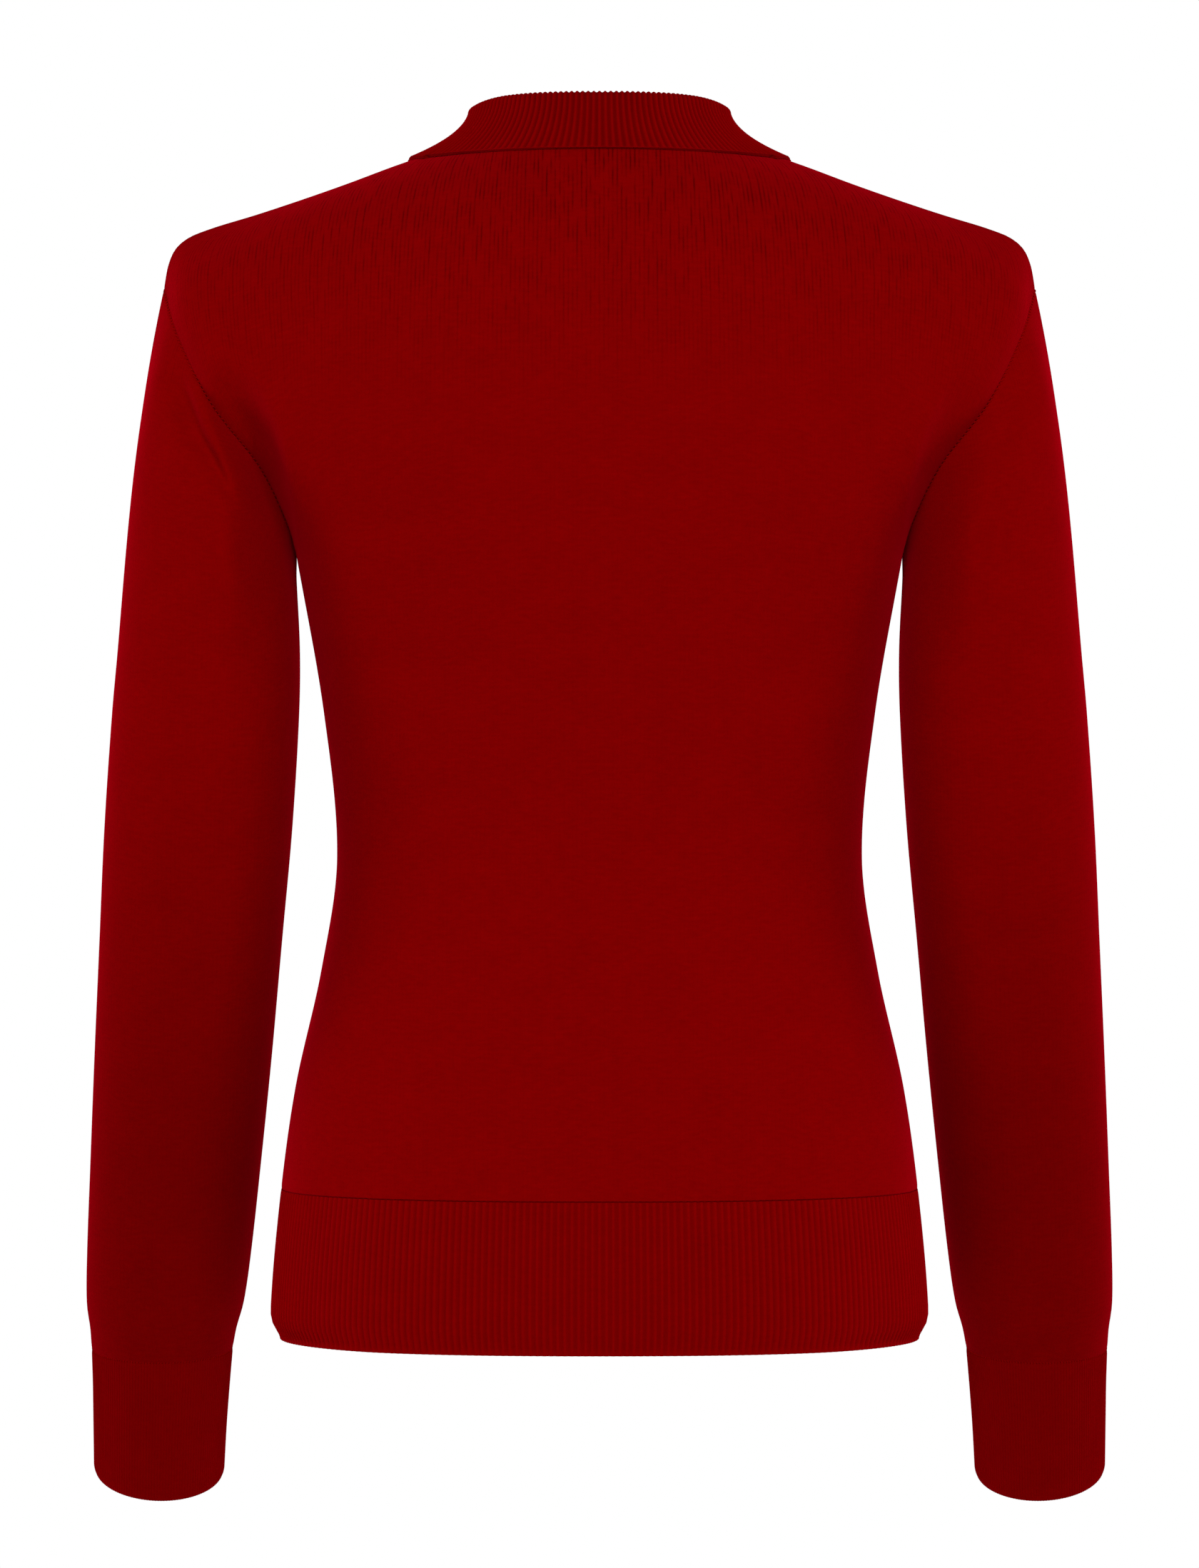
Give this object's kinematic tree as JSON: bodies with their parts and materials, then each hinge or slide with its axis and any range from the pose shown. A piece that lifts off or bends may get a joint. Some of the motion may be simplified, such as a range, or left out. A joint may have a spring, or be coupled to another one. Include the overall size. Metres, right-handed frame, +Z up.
{
  "type": "polo shirt",
  "caption": "Long-sleeved knitted polo shirt, filled out as worn, with a ribbed turn-down collar, buttoned front opening, ribbed cuffs and a ribbed hem band.",
  "frame": {"origin": "middle of the base of the neck, level with the high points of the shoulders, where a wearer carries the shirt", "axes": "+Z up, front towards -Y, the wearer's left arm on +X"},
  "size_m": [0.5048, 0.2385, 0.6824],
  "materials": {
    "knit": "fine stocking stitch, matt, with a soft sheen at grazing angles",
    "rib": "one-by-one rib, matt",
    "button": "polished"
  },
  "bodies": {
    "root": {"back_panel": "knit", "front_panel": "knit", "sleeve_left": "knit", "sleeve_right": "knit", "hem_band_back": "rib", "hem_band_front": "rib", "cuff_left": "rib", "cuff_right": "rib", "collar": "rib", "button_band": "rib", "buttonhole_band": "rib", "button_1": "button", "button_2": "button", "button_3": "button"}
  },
  "joints": []
}
